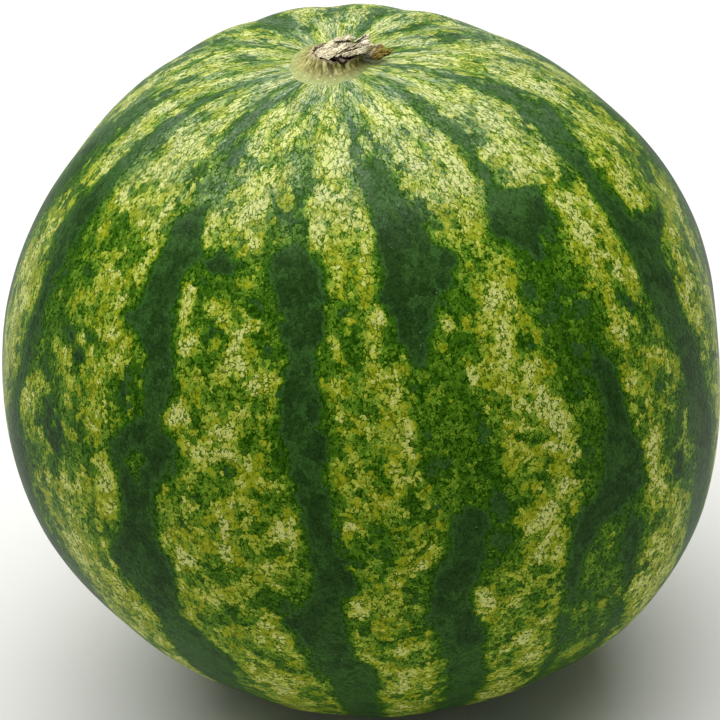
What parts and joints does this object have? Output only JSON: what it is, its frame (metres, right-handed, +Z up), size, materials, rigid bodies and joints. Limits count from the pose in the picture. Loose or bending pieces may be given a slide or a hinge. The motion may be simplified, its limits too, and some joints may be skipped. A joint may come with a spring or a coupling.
{
  "type": "watermelon",
  "caption": "Whole round striped watermelon, as picked, standing on a small flat spot at its blossom end, with the dried, torn stub of its stem on top.",
  "frame": {"origin": "centre of the small flat spot at the blossom end, on which the fruit stands", "axes": "+Z up through the stem, -Y towards the side that the picture shows, +X to the right in the picture"},
  "size_m": [0.2406, 0.2399, 0.2324],
  "materials": {
    "rind": "waxy, smooth rind with dark green stripes between ragged yellow-green stripes made of small cells",
    "stem": "dry, cracked tan bark on a pale olive, fluted foot"
  },
  "bodies": {
    "root": {"fruit": "rind", "stem_stub": "stem"}
  },
  "joints": []
}
